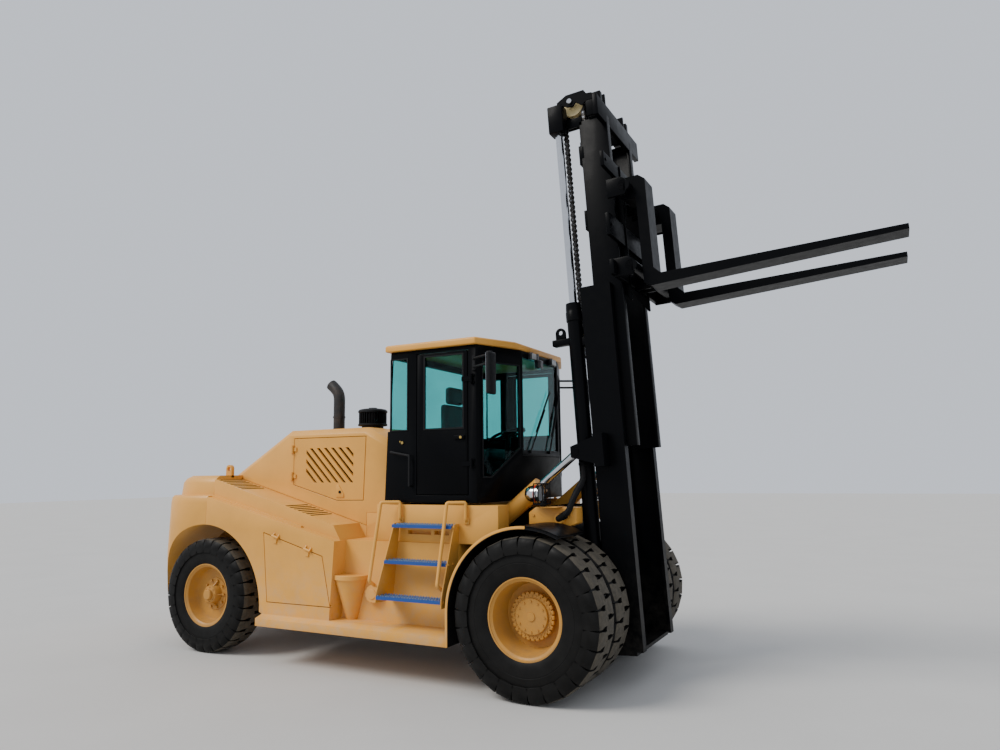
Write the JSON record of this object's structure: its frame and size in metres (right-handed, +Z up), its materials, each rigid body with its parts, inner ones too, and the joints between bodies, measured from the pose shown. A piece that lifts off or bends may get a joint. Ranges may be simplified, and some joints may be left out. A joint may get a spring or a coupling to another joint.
{
  "type": "counterbalance forklift",
  "caption": "Heavy counterbalance forklift with raised two-stage mast, twin drive wheels, steered rear wheels, enclosed cab and cast tail weight.",
  "frame": {"origin": "centre of the footprint's box on the ground, between fork tips and tail", "axes": "+X forward to the forks, +Y to the driver's left, +Z up"},
  "size_m": [8.2622, 2.632, 5.6727],
  "materials": {
    "paint_sand": "satin",
    "paint_black": "satin",
    "tyre": "matt",
    "glass": "clear",
    "tread_blue": "worn",
    "rod_chrome": "polished",
    "wheel_cream": "satin",
    "chain_steel": "greased",
    "cast_black": "rough",
    "seat_vinyl": "matt",
    "lamp": "gloss",
    "plastic_black": "matt",
    "exhaust_steel": "dull"
  },
  "bodies": {
    "chassis": {"cab": "paint_black", "cab_glass": "glass", "cab_roof": "paint_sand", "console": "plastic_black", "counterweight": "paint_sand", "drive_axle": "cast_black", "engine": "cast_black", "exhaust": "exhaust_steel", "frame": "paint_black", "handrails": "paint_sand", "headlamps": "lamp", "hood": "paint_sand", "mirrors": "plastic_black", "mudguards": "paint_sand", "platform": "paint_sand", "precleaner": "plastic_black", "seat": "seat_vinyl", "seat_base": "cast_black", "side_bodies": "paint_sand", "steer_axle": "cast_black", "steps": "paint_sand", "treads": "tread_blue", "work_lamps": "lamp"},
    "mast_outer": {"outer_mast": "paint_black", "lift_barrels": "paint_black"},
    "mast_inner": {"inner_mast": "paint_black", "lift_rods": "rod_chrome", "chain_wheels": "wheel_cream", "lift_chains": "chain_steel"},
    "carriage": {"carriage": "paint_black"},
    "drive_wheels_right": {"drive_tyres_right": "tyre", "drive_rims_right": "paint_sand"},
    "knuckle_right": {"steer_knuckle_right": "cast_black"},
    "steer_wheel_right": {"steer_tyre_right": "tyre", "steer_rim_right": "paint_sand"},
    "cab_door_right": {"cab_door_right": "paint_black", "door_glass_right": "glass"},
    "side_door_right": {"side_door_right": "paint_sand"},
    "hood_door_right": {"hood_door_right": "paint_sand"},
    "fork_right": {"fork_right": "paint_black"},
    "tilt_barrel_right": {"tilt_barrel_right": "paint_sand"},
    "tilt_rod_right": {"tilt_rod_right": "rod_chrome"},
    "drive_wheels_left": {"drive_tyres_left": "tyre", "drive_rims_left": "paint_sand"},
    "knuckle_left": {"steer_knuckle_left": "cast_black"},
    "steer_wheel_left": {"steer_tyre_left": "tyre", "steer_rim_left": "paint_sand"},
    "cab_door_left": {"cab_door_left": "paint_black", "door_glass_left": "glass"},
    "side_door_left": {"side_door_left": "paint_sand"},
    "hood_door_left": {"hood_door_left": "paint_sand"},
    "fork_left": {"fork_left": "paint_black"},
    "tilt_barrel_left": {"tilt_barrel_left": "paint_sand"},
    "tilt_rod_left": {"tilt_rod_left": "rod_chrome"}
  },
  "joints": [
    {"name": "mast_tilt", "type": "hinge", "parent": "chassis", "child": "mast_outer", "pos_m": [1.49028, 0, 0.7], "axis": [0, 1, 0], "range_deg": [-8.5, 9.5]},
    {"name": "mast_lift", "type": "slide", "parent": "mast_outer", "child": "mast_inner", "axis": [-0.061, 0, 0.9981], "range_m": [-1.74, 0]},
    {"name": "carriage_lift", "type": "slide", "parent": "mast_inner", "child": "carriage", "axis": [-0.061, 0, 0.9981], "range_m": [-1.74, 0]},
    {"name": "drive_spin_right", "type": "hinge", "parent": "chassis", "child": "drive_wheels_right", "pos_m": [1.07028, -0.926, 0.678], "axis": [0, 1, 0], "continuous": true},
    {"name": "steer_right", "type": "hinge", "parent": "chassis", "child": "knuckle_right", "pos_m": [-2.88972, -0.76, 0.605], "axis": [0, 0, 1], "range_deg": [-55, 55]},
    {"name": "steer_spin_right", "type": "hinge", "parent": "knuckle_right", "child": "steer_wheel_right", "pos_m": [-2.88972, -1.005, 0.605], "axis": [0, 1, 0], "continuous": true},
    {"name": "cab_door_right", "type": "hinge", "parent": "chassis", "child": "cab_door_right", "pos_m": [0.41528, -1.019, 2.385], "axis": [0, 0, 1], "range_deg": [0, 100]},
    {"name": "side_door_right", "type": "hinge", "parent": "chassis", "child": "side_door_right", "pos_m": [-1.59842, -1.219, 1.2088], "axis": [0.9663, 0, -0.2573], "range_deg": [-95, 0]},
    {"name": "hood_door_right", "type": "hinge", "parent": "chassis", "child": "hood_door_right", "pos_m": [-2.08972, -0.709, 2.035], "axis": [0, 0, 1], "range_deg": [-100, 0]},
    {"name": "fork_spread_right", "type": "slide", "parent": "carriage", "child": "fork_right", "axis": [0, -1, 0], "range_m": [-0.2, 0.07]},
    {"name": "tilt_barrel_right", "type": "hinge", "parent": "chassis", "child": "tilt_barrel_right", "pos_m": [0.43028, -0.6, 1.375], "axis": [0, 1, 0], "range_deg": [-6, 6.5]},
    {"name": "tilt_rod_right", "type": "slide", "parent": "tilt_barrel_right", "child": "tilt_rod_right", "axis": [0.7808, 0, 0.6248], "range_m": [-0.185, 0.205]},
    {"name": "drive_spin_left", "type": "hinge", "parent": "chassis", "child": "drive_wheels_left", "pos_m": [1.07028, 0.926, 0.678], "axis": [0, 1, 0], "continuous": true},
    {"name": "steer_left", "type": "hinge", "parent": "chassis", "child": "knuckle_left", "pos_m": [-2.88972, 0.76, 0.605], "axis": [0, 0, 1], "range_deg": [-55, 55]},
    {"name": "steer_spin_left", "type": "hinge", "parent": "knuckle_left", "child": "steer_wheel_left", "pos_m": [-2.88972, 1.005, 0.605], "axis": [0, 1, 0], "continuous": true},
    {"name": "cab_door_left", "type": "hinge", "parent": "chassis", "child": "cab_door_left", "pos_m": [0.41528, 1.019, 2.385], "axis": [0, 0, 1], "range_deg": [-100, 0]},
    {"name": "side_door_left", "type": "hinge", "parent": "chassis", "child": "side_door_left", "pos_m": [-1.59842, 1.219, 1.2088], "axis": [0.9663, 0, -0.2573], "range_deg": [0, 95]},
    {"name": "hood_door_left", "type": "hinge", "parent": "chassis", "child": "hood_door_left", "pos_m": [-2.08972, 0.709, 2.035], "axis": [0, 0, 1], "range_deg": [0, 100]},
    {"name": "fork_spread_left", "type": "slide", "parent": "carriage", "child": "fork_left", "axis": [0, 1, 0], "range_m": [-0.2, 0.07]},
    {"name": "tilt_barrel_left", "type": "hinge", "parent": "chassis", "child": "tilt_barrel_left", "pos_m": [0.43028, 0.6, 1.375], "axis": [0, 1, 0], "range_deg": [-6, 6.5]},
    {"name": "tilt_rod_left", "type": "slide", "parent": "tilt_barrel_left", "child": "tilt_rod_left", "axis": [0.7808, 0, 0.6248], "range_m": [-0.185, 0.205]}
  ],
  "couplings": [
    {"joint": "carriage_lift", "follows": "mast_lift", "ratio": 1},
    {"joint": "tilt_barrel_right", "follows": "mast_tilt", "ratio": 0.635},
    {"joint": "tilt_rod_right", "follows": "mast_tilt", "m_per_rad": 1.19},
    {"joint": "tilt_barrel_left", "follows": "mast_tilt", "ratio": 0.635},
    {"joint": "tilt_rod_left", "follows": "mast_tilt", "m_per_rad": 1.19},
    {"joint": "steer_left", "follows": "steer_right", "ratio": 1}
  ]
}
